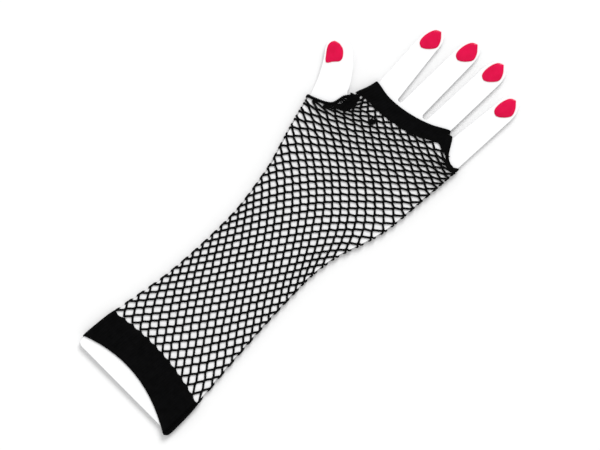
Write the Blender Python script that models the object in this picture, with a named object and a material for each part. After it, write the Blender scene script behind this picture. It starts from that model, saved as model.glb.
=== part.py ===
"""A fingerless fishnet gauntlet glove, worn on a flat display hand.

The glove is a tube of knitted net with a rib-knit band round the arm, a rib-knit band across the
knuckles, and bound edges at the thumb hole and round the little finger. It is stretched over a
thin board cut out as a right hand and forearm, whose five nails are separate coloured pieces.

The set lies flat with the back of the hand up. +Y runs from the elbow to the fingertips, +X
towards the little finger, and +Z up. The origin is under the middle of the set, on the surface
that it lies on. Sizes below are in millimetres, and MM turns them into Blender's metres.
"""

import math

import bmesh
import bpy
from mathutils import Vector

MM = 0.001

# ---- Driving dimensions ----

# The display board: a forearm, narrowest at the wrist, and a hand.
BOARD_THICKNESS = 2.4
BOARD_EDGE = 0.25
FOREARM_LENGTH = 137.0
PALM_LENGTH = 135.0
ELBOW_WIDTH = 89.6
ELBOW_SHIFT = 0.5
ELBOW_LOW = (-2.3, -0.3)
ELBOW_CORNER_RADIUS = 4.0
WRIST_WIDTH = 68.2

# Each side of the board, as (share of the stretch's length, share of its change of width),
# counted from the wrist.
LITTLE_SIDE_FOREARM = ((0.27, 0.20), (0.56, 0.54), (0.80, 0.88), (1.0, 1.0))
LITTLE_SIDE_PALM = (
    (0.10, 0.0), (0.24, 0.14), (0.39, 0.52), (0.50, 0.75), (0.60, 0.85), (0.80, 0.93)
)
THUMB_SIDE_FOREARM = ((0.20, -0.04), (0.42, 0.08), (0.56, 0.31), (0.80, 0.80), (1.0, 1.0))
THUMB_SIDE_PALM = ((0.17, 0.08), (0.45, 0.30), (0.60, 0.50), (0.81, 0.78), (1.0, 1.0))

# Fingers, from the index outwards: name, root width, tip width, length from the web line,
# lean of the tip to the side, and the gap to the next finger.
FINGERS = (
    ("index", 17.7, 15.2, 59.0, -4.6, 3.3),
    ("middle", 16.7, 15.2, 67.0, -1.2, 4.4),
    ("ring", 17.0, 16.2, 66.0, 0.4, 5.0),
    ("little", 17.5, 15.6, 50.4, 2.1, 0.0),
)
INDEX_SIDE_X = -31.2
WEB_RISE = 4.0
WEB_SLOPE = 0.21
FINGERTIP_ROUND = 14.0

# The crotch between the thumb and the index finger, from the index finger's root.
CROTCH_INWARD = 8.0
CROTCH_DROP = 25.2
CROTCH_RADIUS = 2.2
INDEX_SIDE = ((0.0, 24.2), (-1.8, 16.2), (-4.8, 8.2))

# The thumb stands out of the palm's side at an angle, measured from +X. Its root and its heel
# are places from the crotch.
THUMB_ROOT = (-9.3, -8.3)
THUMB_HEEL = (-18.4, -17.8)
THUMB_ANGLE = 122.0
THUMB_LENGTH = 42.7
THUMB_WIDTH = 22.0
THUMB_PROFILE = (
    (0.32, 0.60), (0.57, 0.555), (0.81, 0.43), (0.96, 0.20), (1.0, -0.12),
    (0.92, -0.38), (0.79, -0.46), (0.60, -0.43), (0.35, -0.435), (0.12, -0.49),
)

# Nails: thin patches, as wide and long as this, this far behind each fingertip.
NAIL_THICKNESS = 0.5
NAIL_EDGE = 0.15
NAIL_WIDTH = 12.2
NAIL_LENGTH = 17.6
NAIL_SETBACK = 1.6
FINGER_NAIL = (
    (0.02, 1.0), (0.36, 0.74), (0.49, 0.44), (0.20, 0.15), (-0.14, 0.0),
    (-0.42, 0.10), (-0.50, 0.36), (-0.43, 0.68), (-0.26, 0.91),
)
THUMB_NAIL = (
    (0.0, 1.0), (0.27, 0.90), (0.51, 0.65), (0.55, 0.28), (0.40, 0.08),
    (0.02, 0.02), (-0.37, -0.05), (-0.42, 0.37), (-0.38, 0.73), (-0.22, 0.92),
)
THUMB_NAIL_ANGLE = 129.6
THUMB_NAIL_LENGTH = 15.0
THUMB_NAIL_MIDDLE = (0.75, -0.17)

# The glove: knit walls, and the clearance between them and the board.
NET_WALL = 1.0
BAND_WALL = 1.4
CLEARANCE = 0.3
NODE_GAP = 0.3
WALL_ROUND = 0.9

# The arm band's two edges, as a height at mid-width, a tilt towards each side and a bow.
ARM_EDGE = (11.4, 3.8, 11.6)
ARM_BAND_WIDTH = 25.3
ARM_JOIN_TILT = 1.1
ARM_JOIN_BOW = 5.9
ARM_SEAM_WIDTH = 3.6
ARM_SEAM_RISE = 0.3
ARM_TAB_LOW = -2.2
ARM_TAB_WIDTH = 1.5
ARM_TAB_RADIUS = 1.2

# The knuckle band's free edge, as (share across the knuckles, height over the web line).
KNUCKLE_EDGE = (
    (-0.11, 4.6), (0.0, 3.0), (0.14, -1.0), (0.29, -2.5), (0.44, -2.1), (0.57, -0.2),
    (0.65, 2.2), (0.72, 4.0), (0.775, 1.0), (0.82, -5.0), (0.86, -10.5), (0.91, -14.5),
    (1.0, -18.0), (1.20, -24.0),
)
KNUCKLE_NOTCH = (0.745, 1.2)
KNUCKLE_BAND_WIDTH = 13.3
KNUCKLE_FLARE = (0.10, 25.0)
KNUCKLE_TAPER = (0.76, 0.88)
LITTLE_EDGING_WIDTH = 2.0
LITTLE_EDGING_START = 0.865

# The thumb hole's edge, from past the thumb's heel to past the crotch, as places from the crotch,
# the edge's binding, and the tack beside it.
THUMB_EDGE = (
    (-26.8, -20.4), (-18.7, -17.4), (-10.8, -14.0), (-6.0, -11.2), (-3.2, -8.2),
    (-2.1, -3.8), (-1.4, 1.2), (-1.0, 7.2),
)
THUMB_EDGING_WIDTH = 2.2
THUMB_EDGING_RISE = 4.2
TACK_WIDTH = 5.5
TACK_DROP = 6.3

# How far cutters run past what they cut, how near two points are one, and how finely rims
# are rounded.
RUNOUT = 12.0
WELD = 0.01
RIM_STEPS = 1

NET_BLACK = (0.012, 0.011, 0.014)
BAND_BLACK = (0.008, 0.008, 0.010)
BOARD_WHITE = (0.93, 0.93, 0.93)
NAIL_CRIMSON = (0.76, 0.003, 0.078)
NET_ROUGHNESS = 0.85
BAND_ROUGHNESS = 0.9
BOARD_ROUGHNESS = 0.55
NAIL_ROUGHNESS = 0.22

GLOVE_THICKNESS = BOARD_THICKNESS + 2 * (CLEARANCE + BAND_WALL)
BOARD_BOTTOM = BAND_WALL + CLEARANCE
BOARD_TOP = BOARD_BOTTOM + BOARD_THICKNESS
WEB_Y = FOREARM_LENGTH + PALM_LENGTH + WEB_RISE
CROTCH = Vector((INDEX_SIDE_X - CROTCH_INWARD, WEB_Y - CROTCH_DROP))


# ---- Plan geometry ----


def smooth(points, steps=4):
    """A Catmull-Rom curve through the points, ends included."""
    rows = [Vector(p) for p in points]
    rows = [2 * rows[0] - rows[1], *rows, 2 * rows[-1] - rows[-2]]
    found = []
    for a, b, c, d in zip(rows, rows[1:], rows[2:], rows[3:]):
        for n in range(steps):
            t = n / steps
            bend = (2 * a - 5 * b + 4 * c - d) * t**2 + (3 * b - a - 3 * c + d) * t**3
            found.append(b + 0.5 * ((c - a) * t + bend))
    return found + [rows[-2]]


def fillet(before, corner, after, radius, steps=6):
    """An arc of this radius that rounds a corner of a path."""
    corner = Vector(corner)
    back = (Vector(before) - corner).normalized()
    on = (Vector(after) - corner).normalized()
    half = back.angle(on) / 2
    reach = radius / math.tan(half)
    centre = corner + (back + on).normalized() * radius / math.sin(half)
    start = corner + back * reach - centre
    sweep = start.angle_signed(corner + on * reach - centre)
    found = []
    for n in range(steps + 1):
        turn = -sweep * n / steps
        c, s = math.cos(turn), math.sin(turn)
        found.append(centre + Vector((c * start.x - s * start.y, s * start.x + c * start.y)))
    return found


def grown(points, distance):
    """A closed counter-clockwise outline moved outwards by a distance."""
    found = []
    for n, here in enumerate(points):
        along = (points[(n + 1) % len(points)] - points[n - 1]).normalized()
        found.append(here + Vector((along.y, -along.x)) * distance)
    return found


def shifted(points, distance):
    """An open path moved to its right-hand side by a distance."""
    found = []
    for n, here in enumerate(points):
        along = (points[min(n + 1, len(points) - 1)] - points[max(n - 1, 0)]).normalized()
        found.append(here + Vector((along.y, -along.x)) * distance)
    return found


def lowered(points):
    return [p - Vector((0, NODE_GAP / 2)) for p in points]


def raised(points):
    return [p + Vector((0, NODE_GAP / 2)) for p in points]


def before(path, end):
    """The part of a left-to-right path up to an x."""
    kept = [p for p in path if p.x < end]
    return [*kept, between(path, end)]


def after(path, start):
    """The part of a left-to-right path from an x on."""
    kept = [p for p in path if p.x > start]
    return [between(path, start), *kept]


def between(path, x):
    """The point of a left-to-right path at an x."""
    for here, there in zip(path, path[1:]):
        if here.x <= x <= there.x:
            return here.lerp(there, (x - here.x) / (there.x - here.x))
    return path[-1].copy()


def side(sign, forearm, palm, palm_length, palm_reach):
    """One side of the board, from the elbow up, as points. sign is 1 on the little finger's side."""
    wrist = WRIST_WIDTH / 2
    elbow = ELBOW_WIDTH / 2 + sign * ELBOW_SHIFT
    low = [
        (sign * (wrist + across * (elbow - wrist)), FOREARM_LENGTH * (1 - along))
        for along, across in reversed(forearm)
    ]
    high = [
        (sign * (wrist + across * (palm_reach - wrist)), FOREARM_LENGTH + palm_length * along)
        for along, across in palm
    ]
    return low + [(sign * wrist, FOREARM_LENGTH)] + high


def finger_places():
    """Each finger's name, root sides and tip, worked out from the widths and gaps."""
    found = []
    left = INDEX_SIDE_X
    for name, root, tip, length, lean, gap in FINGERS:
        middle = left + root / 2
        found.append(
            {
                "name": name, "left": left, "right": left + root, "gap": gap, "tip_width": tip,
                "tip": Vector((middle + lean, web_height(middle) + length)),
            }
        )
        left += root + gap
    return found


def web_height(x):
    """The height of the line that the webs between the fingers lie on."""
    first_web = INDEX_SIDE_X + FINGERS[0][1]
    return WEB_Y + WEB_SLOPE * (x - first_web)


def fingertip(finger, steps=14):
    """The round end of a finger, from its right side over to its left."""
    centre = finger["tip"] - Vector((0, FINGERTIP_ROUND))
    found = []
    for n in range(steps + 1):
        turn = math.pi * n / steps
        across = finger["tip_width"] / 2 * math.cos(turn)
        found.append(centre + Vector((across, FINGERTIP_ROUND * math.sin(turn))))
    return found


def slot_bottom(finger, next_finger, steps=6):
    """The round bottom of the gap between two fingers, from the outer one to the inner one."""
    radius = finger["gap"] / 2
    middle = (finger["right"] + next_finger["left"]) / 2
    centre = Vector((middle, web_height(middle) + radius))
    found = []
    for n in range(steps + 1):
        turn = -math.pi * n / steps
        found.append(centre + Vector((math.cos(turn), math.sin(turn))) * radius)
    return found


def in_thumb(along, across):
    """A point of the thumb: shares of its length, and of its width towards the index finger."""
    angle = math.radians(THUMB_ANGLE)
    forward = Vector((math.cos(angle), math.sin(angle)))
    inner = Vector((forward.y, -forward.x))
    root = CROTCH + Vector(THUMB_ROOT)
    return root + forward * along * THUMB_LENGTH + inner * across * THUMB_WIDTH


def little_side():
    """The board's outer side, from the elbow up to the little finger's root."""
    outer = finger_places()[-1]["right"]
    points = side(1, LITTLE_SIDE_FOREARM, LITTLE_SIDE_PALM, PALM_LENGTH, outer)
    return smooth([*points, (outer, FOREARM_LENGTH + PALM_LENGTH)])


def thumb_side():
    """The board's inner side, from the index finger's root round the thumb and down to the elbow."""
    index_root = Vector((INDEX_SIDE_X, CROTCH.y))
    index_side = [index_root + Vector(place) for place in INDEX_SIDE]
    crotch = fillet(index_side[-1], CROTCH, in_thumb(*THUMB_PROFILE[0]), CROTCH_RADIUS)
    thumb = [in_thumb(*share) for share in THUMB_PROFILE]
    heel = CROTCH + Vector(THUMB_HEEL)
    down = side(-1, THUMB_SIDE_FOREARM, THUMB_SIDE_PALM, heel.y - FOREARM_LENGTH, -heel.x)
    down.reverse()
    to_crotch = smooth([*index_side, crotch[0]])
    return to_crotch[:-1] + crotch[:-1] + smooth([crotch[-1], *thumb, *down])


def board_outline():
    """The whole hand and forearm, counter-clockwise from the elbow's thumb-side corner."""
    inner = thumb_side()
    outer = little_side()
    corner_left = Vector((inner[-1].x, ELBOW_LOW[0]))
    corner_right = Vector((outer[0].x, ELBOW_LOW[1]))
    found = fillet(inner[-1], corner_left, corner_right, ELBOW_CORNER_RADIUS)
    found += fillet(corner_left, corner_right, outer[1], ELBOW_CORNER_RADIUS)
    found += [p for p in outer if p.y > ELBOW_LOW[1] + ELBOW_CORNER_RADIUS]
    fingers = finger_places()
    for finger, inner_finger in zip(reversed(fingers), [*reversed(fingers[:-1]), None]):
        found += fingertip(finger)
        if inner_finger:
            found += slot_bottom(inner_finger, finger)
    return found + [p for p in inner if p.y > ELBOW_LOW[0] + ELBOW_CORNER_RADIUS]


def sleeve_outline():
    """The stretch that the glove covers: the board's sides, run straight out past both ends."""
    inner = thumb_side()
    outer = little_side()
    top = max(f["tip"].y for f in finger_places())
    low = min(ELBOW_LOW) - RUNOUT
    return [
        Vector((inner[-1].x, low)),
        Vector((outer[0].x, low)),
        *outer,
        Vector((outer[-1].x, top)),
        Vector((inner[0].x, top)),
        *inner,
    ]


def arm_edge(x):
    """The arm band's free edge: its height at a distance from mid-width."""
    height, tilt, bow = ARM_EDGE
    share = x / (ELBOW_WIDTH / 2)
    return height - tilt * share - bow * share**2


def arm_join(x):
    """The line where the arm band meets the net."""
    share = x / (ELBOW_WIDTH / 2)
    return ARM_EDGE[0] + ARM_BAND_WIDTH - ARM_JOIN_TILT * share - ARM_JOIN_BOW * share**2


def knuckle_edges():
    """The knuckle band's free edge and its join with the net, both from the index side outwards."""
    first, last = INDEX_SIDE_X, finger_places()[-1]["right"]
    start, end = KNUCKLE_TAPER
    flare_start, flare = KNUCKLE_FLARE
    free, join = [], []
    for share, over in sorted([*KNUCKLE_EDGE, KNUCKLE_NOTCH]):
        x = first + share * (last - first)
        y = web_height(x) + over
        narrowed = min(max((share - start) / (end - start), 0.0), 1.0)
        width = KNUCKLE_BAND_WIDTH + narrowed * (LITTLE_EDGING_WIDTH - KNUCKLE_BAND_WIDTH)
        width += max(flare_start - share, 0.0) * flare
        free.append((x, y))
        if (share, over) != KNUCKLE_NOTCH:
            join.append((x, y - width))
    return smooth(free, 3), smooth(join, 3)


def middle_of(outline):
    """The middle of an outline's box, in plan."""
    xs = [p.x for p in outline]
    ys = [p.y for p in outline]
    return (min(xs) + max(xs)) / 2, (min(ys) + max(ys)) / 2


def sampled(height, low, high, steps=16):
    """Points of a curve, given as a height over x, from low to high."""
    places = [low + (high - low) * n / steps for n in range(steps + 1)]
    return [Vector((x, height(x))) for x in places]


# ---- Solids ----


def body(name):
    """An empty that a body's pieces hang from."""
    holder = bpy.data.objects.new(name, None)
    holder.empty_display_size = 10 * MM
    PARTS.objects.link(holder)
    return holder


def material(name, colour, roughness):
    found = bpy.data.materials.get(name) or bpy.data.materials.new(name)
    found.use_nodes = True
    shader = found.node_tree.nodes["Principled BSDF"]
    shader.inputs["Base Color"].default_value = (*colour, 1.0)
    shader.inputs["Roughness"].default_value = roughness
    shader.inputs["Metallic"].default_value = 0.0
    found.diffuse_color = (*colour, 1.0)
    return found


def flat_solid(name, outline, low, high, edge, collection):
    """A closed outline in plan, drawn up from low to high, with its rims rounded by edge."""
    offset_x, offset_y = ORIGIN
    curve = bpy.data.curves.new(name, "CURVE")
    curve.dimensions = "2D"
    curve.fill_mode = "BOTH"
    curve.extrude = ((high - low) / 2 - edge) * MM
    curve.bevel_depth = edge * MM
    curve.bevel_resolution = RIM_STEPS
    curve.offset = -edge * MM
    spline = curve.splines.new("POLY")
    spline.points.add(len(outline) - 1)
    for point, place in zip(spline.points, outline):
        point.co = ((place.x - offset_x) * MM, (place.y - offset_y) * MM, 0, 1)
    spline.use_cyclic_u = True
    drawn = bpy.data.objects.new(name + "_outline", curve)
    bpy.context.scene.collection.objects.link(drawn)
    drawn.location.z = (low + high) / 2 * MM
    bpy.context.view_layer.update()
    graph = bpy.context.evaluated_depsgraph_get()
    mesh = bpy.data.meshes.new_from_object(drawn.evaluated_get(graph))
    mesh.transform(drawn.matrix_world)
    bpy.data.objects.remove(drawn)
    bpy.data.curves.remove(curve)
    shape = bmesh.new()
    shape.from_mesh(mesh)
    bmesh.ops.remove_doubles(shape, verts=shape.verts, dist=WELD * MM)
    bmesh.ops.recalc_face_normals(shape, faces=shape.faces)
    shape.to_mesh(mesh)
    shape.free()
    mesh.name = name
    piece = bpy.data.objects.new(name, mesh)
    collection.objects.link(piece)
    return piece


def cutter(name, outline, low, high):
    """A helper solid that cuts others and is never part of the set."""
    piece = flat_solid(name, outline, low, high, 0.0, CUTTERS)
    piece.hide_render = True
    piece.display_type = "WIRE"
    return piece


def boolean(piece, operation, other):
    modifier = piece.modifiers.new(operation.title(), "BOOLEAN")
    modifier.operation = operation
    modifier.object = other
    modifier.solver = "EXACT"


def knit_piece(name, wall, zone, cavity, colour, rise=0.0):
    """The stretch of the glove's wall over a zone of the plan, open inside for the board."""
    low = BAND_WALL - wall
    high = GLOVE_THICKNESS - low + rise
    outline = grown(sleeve_outline(), CLEARANCE + wall)
    piece = flat_solid(name, outline, low, high, WALL_ROUND, PARTS)
    boolean(piece, "INTERSECT", cutter(name + "_zone", zone, -RUNOUT, GLOVE_THICKNESS + RUNOUT))
    boolean(piece, "DIFFERENCE", cavity)
    piece.data.materials.append(colour)
    piece.parent = GLOVE
    return piece


def build_board():
    piece = flat_solid("hand_form", board_outline(), BOARD_BOTTOM, BOARD_TOP, BOARD_EDGE, PARTS)
    piece.data.materials.append(material("board_white", BOARD_WHITE, BOARD_ROUGHNESS))
    piece.parent = DISPLAY_HAND


def build_nail(name, shape, base, angle, width, length):
    """A nail patch on the board. base is the middle of its root, and angle its direction."""
    forward = Vector((math.cos(angle), math.sin(angle)))
    across = Vector((forward.y, -forward.x))
    points = [base + across * x * width + forward * y * length for x, y in shape]
    outline = smooth([*points, points[0]])[:-1]
    outline.reverse()
    low = BOARD_TOP + NODE_GAP
    piece = flat_solid(name, outline, low, low + NAIL_THICKNESS, NAIL_EDGE, PARTS)
    piece.data.materials.append(material("nail_crimson", NAIL_CRIMSON, NAIL_ROUGHNESS))
    piece.parent = DISPLAY_HAND


def build_nails():
    for finger in finger_places():
        base = finger["tip"] - Vector((0, NAIL_SETBACK + NAIL_LENGTH))
        build_nail(
            finger["name"] + "_nail", FINGER_NAIL, base, math.pi / 2, NAIL_WIDTH, NAIL_LENGTH
        )
    angle = math.radians(THUMB_NAIL_ANGLE)
    centre = in_thumb(*THUMB_NAIL_MIDDLE)
    base = centre - Vector((math.cos(angle), math.sin(angle))) * THUMB_NAIL_LENGTH / 2
    build_nail("thumb_nail", THUMB_NAIL, base, angle, NAIL_WIDTH, THUMB_NAIL_LENGTH)


def build_arm_band(cavity, rib):
    """The arm band, and the seam ridge down its outer side, which ends in a small tab."""
    seam_x = little_side()[0].x + CLEARANCE + BAND_WALL - ARM_SEAM_WIDTH
    band_end = seam_x - NODE_GAP / 2
    edge = sampled(arm_edge, -ELBOW_WIDTH / 2 - RUNOUT, band_end)
    join = sampled(arm_join, -ELBOW_WIDTH / 2 - RUNOUT, band_end)
    knit_piece("arm_band", BAND_WALL, edge + lowered(join)[::-1], cavity, rib)

    seam_start = seam_x + NODE_GAP / 2
    far = ELBOW_WIDTH / 2 + RUNOUT
    first = Vector((seam_start, arm_edge(seam_start)))
    tab_corner = (seam_start + ARM_TAB_WIDTH, ARM_TAB_LOW)
    tab = fillet(first, tab_corner, (far, ARM_TAB_LOW + RUNOUT), ARM_TAB_RADIUS, 3)
    join = sampled(arm_join, seam_start, far, 4)
    zone = [first, *tab, Vector((far, ARM_TAB_LOW + RUNOUT)), *lowered(join)[::-1]]
    knit_piece("arm_band_seam", BAND_WALL, zone, cavity, rib, ARM_SEAM_RISE)


def build_knuckle_band(cavity, rib):
    """The knuckle band, and the bound edge that carries on round the little finger."""
    free, join = knuckle_edges()
    join = raised(join)
    last = finger_places()[-1]["right"]
    end = INDEX_SIDE_X + LITTLE_EDGING_START * (last - INDEX_SIDE_X)
    low, high = before(join, end), before(free, end)
    knit_piece("knuckle_band", BAND_WALL, low + high[::-1], cavity, rib)
    low, high = after(join, end + NODE_GAP), after(free, end + NODE_GAP)
    knit_piece("little_finger_edging", BAND_WALL, low + high[::-1], cavity, rib)


def build_thumb_hole(cavity, rib):
    """The binding of the thumb hole, and the tack that gathers the knit in the thumb's crotch."""
    rim = smooth([CROTCH + Vector(place) for place in THUMB_EDGE])
    palm_rim = shifted(rim, THUMB_EDGING_WIDTH)
    edging_top = CROTCH.y + THUMB_EDGING_RISE
    low = [p for p in palm_rim if p.y < edging_top]
    high = [p for p in rim if p.y < edging_top]
    low.append(Vector((low[-1].x, edging_top)))
    high.append(Vector((high[-1].x, edging_top)))
    knit_piece("thumb_edging", BAND_WALL, low + high[::-1], cavity, rib)

    tack_rim = shifted(rim, THUMB_EDGING_WIDTH + NODE_GAP)
    tack_end = tack_rim[-1].x + TACK_WIDTH
    tack_low = CROTCH.y - TACK_DROP
    inner = [p for p in tack_rim if tack_low < p.y < edging_top + NODE_GAP]
    bottom = Vector((inner[0].x, tack_low))
    shelf = Vector((inner[-1].x, edging_top + NODE_GAP))
    corner = Vector((rim[-1].x, edging_top + NODE_GAP))
    top = [p for p in lowered(knuckle_edges()[1]) if rim[-1].x < p.x < tack_end]
    top = [Vector((rim[-1].x, top[0].y)), *top, Vector((tack_end, top[-1].y))]
    zone = [Vector((tack_end, tack_low)), *top[::-1], corner, shelf, *inner[::-1], bottom]
    knit_piece("thumb_crotch_tack", BAND_WALL, zone[::-1], cavity, rib)
    return tack_rim, tack_end


def build_net(cavity, net, tack_rim, tack_end):
    """The net tube, which fills the plan between the bands, the thumb hole and the tack."""
    far = max(ELBOW_WIDTH / 2, -CROTCH.x - THUMB_HEEL[0]) + RUNOUT
    low = raised(sampled(arm_join, -far, far, 24))
    top = lowered(after(knuckle_edges()[1], tack_end + NODE_GAP))
    tack_low = CROTCH.y - TACK_DROP - NODE_GAP
    inner = [p for p in tack_rim if p.y < tack_low]
    zone = [
        *low,
        Vector((far, top[-1].y)),
        *top[::-1],
        Vector((tack_end + NODE_GAP, tack_low)),
        Vector((inner[-1].x, tack_low)),
        *inner[::-1],
    ]
    knit_piece("net_tube", NET_WALL, zone, cavity, net)


def build_glove():
    net = material("net_knit", NET_BLACK, NET_ROUGHNESS)
    rib = material("rib_knit", BAND_BLACK, BAND_ROUGHNESS)
    inside = grown(sleeve_outline(), CLEARANCE)
    cavity = cutter("glove_inside", inside, BOARD_BOTTOM - CLEARANCE, BOARD_TOP + CLEARANCE)
    build_arm_band(cavity, rib)
    build_knuckle_band(cavity, rib)
    tack_rim, tack_end = build_thumb_hole(cavity, rib)
    build_net(cavity, net, tack_rim, tack_end)


# ---- Scene ----

for old in list(bpy.data.objects):
    bpy.data.objects.remove(old)
PARTS = bpy.data.collections.new("fishnet_gauntlet_glove")
CUTTERS = bpy.data.collections.new("cutters")
for group in (PARTS, CUTTERS):
    bpy.context.scene.collection.children.link(group)

GLOVE = body("glove")
DISPLAY_HAND = body("display_hand")
ORIGIN = middle_of(board_outline())
build_board()
build_nails()
build_glove()
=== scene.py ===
import math

import bpy
import numpy as np
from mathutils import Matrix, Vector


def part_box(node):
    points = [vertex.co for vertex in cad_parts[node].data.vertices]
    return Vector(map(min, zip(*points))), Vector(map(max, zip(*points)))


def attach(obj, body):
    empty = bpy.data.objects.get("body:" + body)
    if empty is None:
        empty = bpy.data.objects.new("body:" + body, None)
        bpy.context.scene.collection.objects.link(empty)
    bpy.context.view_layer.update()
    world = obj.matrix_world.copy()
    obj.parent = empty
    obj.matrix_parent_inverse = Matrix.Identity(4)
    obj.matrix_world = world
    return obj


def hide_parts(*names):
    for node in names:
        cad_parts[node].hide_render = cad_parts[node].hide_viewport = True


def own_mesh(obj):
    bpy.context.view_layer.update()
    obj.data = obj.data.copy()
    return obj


# The looks of a fingerless fishnet gauntlet glove, worn on a flat white display hand. The net,
# edgings and stitches are modelled yarn by yarn, and the bands as ribbed knit. All of them are
# fitted round the board that the frame holds.
# Sizes are in millimetres, in the frame's own axes: +Y to the fingertips, +X to the little finger,
# and +Z up from the surface that the set lies on.

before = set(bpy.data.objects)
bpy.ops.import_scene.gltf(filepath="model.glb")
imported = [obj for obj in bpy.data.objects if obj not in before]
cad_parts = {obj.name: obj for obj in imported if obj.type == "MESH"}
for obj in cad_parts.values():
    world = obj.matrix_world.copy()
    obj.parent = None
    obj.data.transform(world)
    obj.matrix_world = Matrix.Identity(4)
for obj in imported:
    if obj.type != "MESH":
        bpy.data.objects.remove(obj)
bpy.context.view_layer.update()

MM = 0.001
SEED = 7

# ---- Sizes ----

# How the knit lies on the board: the room that it keeps, the bands' wall, the lift of the net's
# yarn, and the arc that this yarn takes round the board's corners.
ROOM = 0.3
BAND_WALL = 1.4
NET_LIFT = 0.80
CORNER_ARC = NET_LIFT * math.pi / 2

# The fishnet: meshes across the front, half rows from the arm band to the knuckle band, and the
# half row where the thumb hole starts. At some half rows, ROW_RISES are the heights of one, as
# shares of their sum, and LEANS are how much higher than its middle a row lies at the board's left
# and right sides. SIDE_TURNS say how far past the left and right sides the outermost knots lie, at
# some heights.
MESHES = 12
HALF_ROWS = 58
HOLE_ROW = 48
ROW_RISES = (
    (0, 5.0), (2, 4.9), (7, 4.9), (10, 4.9), (19, 4.85), (28, 4.5), (36, 3.65), (45, 3.1),
    (58, 2.65),
)
LEANS = (
    (0, -3.0, -3.0), (8, -2.0, 1.5), (16, -3.0, 1.0), (24, -6.0, -1.0), (32, -7.0, 1.0),
    (40, -5.5, 8.5), (48, -6.0, 13.0), (54, -5.0, 11.5), (58, -4.0, 8.0),
)
SIDE_TURNS = (
    (-137, 0.9, 0.9), (-50, 0.9, 0.6), (-22, 0.6, -0.6), (10, 1.2, -1.5), (38, -1.2, -0.6),
    (57, -3.5, 0.2), (105, -3.5, 1.0),
)

# How unevenly the yarns pull, the meshes whose mean heights follow ROW_RISES, the passes that this
# takes, and how far the last row's knots crowd towards the tack.
UNEVENNESS = 0.10
MIDDLE_MESHES = slice(4, 8)
PASSES = 6
CROWDING = 1.32

# The net's yarn, its twist and the depth of its two plies. At a knot it swells, and its very end,
# which the knot hides, is KNOT_END of its width. KNOT_RISE is half a knot's height, and KNOT_LEAN
# how upright a yarn leaves it. The turn that binds a knot has a half width, half height and radius.
YARN_WIDTH = 1.50
YARN_THICKNESS = 1.05
YARN_TWIST = 2.1
YARN_LOBES = 0.07
KNOT_SWELL = 0.16
KNOT_END = 0.62
KNOT_LEAN = 0.10
KNOT_RISE = 0.5
KNOT_WRAP = (0.78, 0.46, 0.32)
WRAP_TURNS = (-0.15, 1.15)

# The rib-knit bands: ribs run from edge to edge, with a column of stitches on each. SCALLOPS are how
# far a band's edge draws back between the knots of the net's first and last rows.
RIB_PITCH = 2.0
RIB_STEPS = 6
RIB_HEIGHT = 0.34
BAND_LIFT = 1.27
COURSE = 1.5
COURSE_STEP = 0.5
STITCH_HEIGHT = 0.08
STITCH_SLANT = 1.8
SCALLOPS = {0: 1.4, HALF_ROWS: 0.8}

# The thumb hole's rolled edge, as offsets from the crotch of the thumb, with its overlock stitches.
THUMB_RIM = np.array([
    (-26.8, -20.4), (-18.7, -17.4), (-10.8, -14.0), (-6.0, -11.2), (-3.2, -8.2), (-2.1, -3.8),
    (-1.2, 0.4), (1.6, 4.2),
])
RIM_WIDTH = 1.9
RIM_THICKNESS = 1.3
RIM_LIFT = 1.0
OVERLOCK_STEPS = 2
OVERLOCK_TURNS = (-0.12, 0.62)
OVERLOCK_SLANT = 1.3

# How far a band reaches into the gap at its seam, and the seam's stitches.
SEAM_REACH = 0.14
SEAM_PITCH = 1.6
SEAM_STITCH = 1.25
SEAM_SLANT = 0.45

# The widths and thicknesses of the yarns in the stitches, the gather, its slack and the net's knot.
STITCH_YARN = (0.62, 0.5)
GATHER_YARN = (1.05, 0.8)
SLACK_YARN = (1.25, 0.8)
KNOT_YARN = (1.15, 0.9)

# The bunched yarn at the crotch: loops, slack yarns, the loops' heights off the crotch, each with
# its left and right bound, and the half lengths of loops. Then the place of the net's knot, and
# the yarns in it.
GATHER_LOOPS = 46
SLACK_YARNS = 11
GATHER_OUTLINE = (
    (-6.5, -1.8, 6.6), (-3.5, -1.6, 6.8), (0.5, 0.0, 7.0), (5.0, 2.2, 7.2), (8.6, 3.4, 7.6),
)
LOOP_HALF = (1.2, 2.4)
KNOT_LOOPS = 10
NET_KNOT = np.array([-2.0, 80.2])

# The points round a nail's outline. Its dome, as shares of that outline and heights.
NAIL_POINTS = 48
NAIL_DOME = (
    (1.0, 4.12), (1.0, 4.48), (0.985, 4.60), (0.95, 4.73), (0.86, 4.90), (0.70, 5.05),
    (0.50, 5.15), (0.25, 5.21), (0.04, 5.22),
)

# The pieces that the net is made in: half rows, and the flat width and length in metres, taken as
# worn.
NET_PIECES = {
    "forearm": (0, 19, 0.076, 0.096),
    "wrist": (19, 38, 0.078, 0.079),
    "palm": (38, HALF_ROWS, 0.095, 0.060),
}

# Where a band's top edge is taken to turn down its side: this near to an end, and this far down.
# The board's rounded corners at the elbow end, and how far the knuckle band's left end wanders.
CORNER_ZONE = 10.0
CORNER_FALL = 3.0
ELBOW_CORNER = 6.0
LEFT_END = 5.0

# How far the net's first and last knots lie past its CAD solid, under the bands. At the knuckle
# band's left end they lie TUCK past it. Over TUCK_RUN the tucked net drops by TUCK_DROP.
BOTTOM_OVERLAP = 0.4
TOP_OVERLAP = 0.5
TUCK = 4.6
TUCK_RUN = 1.2
TUCK_DROP = 0.22

# The place where the thumb and the index finger part, in plan.
CROTCH = np.array([-26.755, 77.45])


# ---- Reading the frame ----


def node_lines(node):
    """Both ends of every mesh edge of a CAD node, in plan."""
    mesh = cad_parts[node].data
    places = np.array([v.co for v in mesh.vertices]) / MM
    ends = np.array([e.vertices for e in mesh.edges])
    return places[ends[:, 0]], places[ends[:, 1]]


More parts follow.
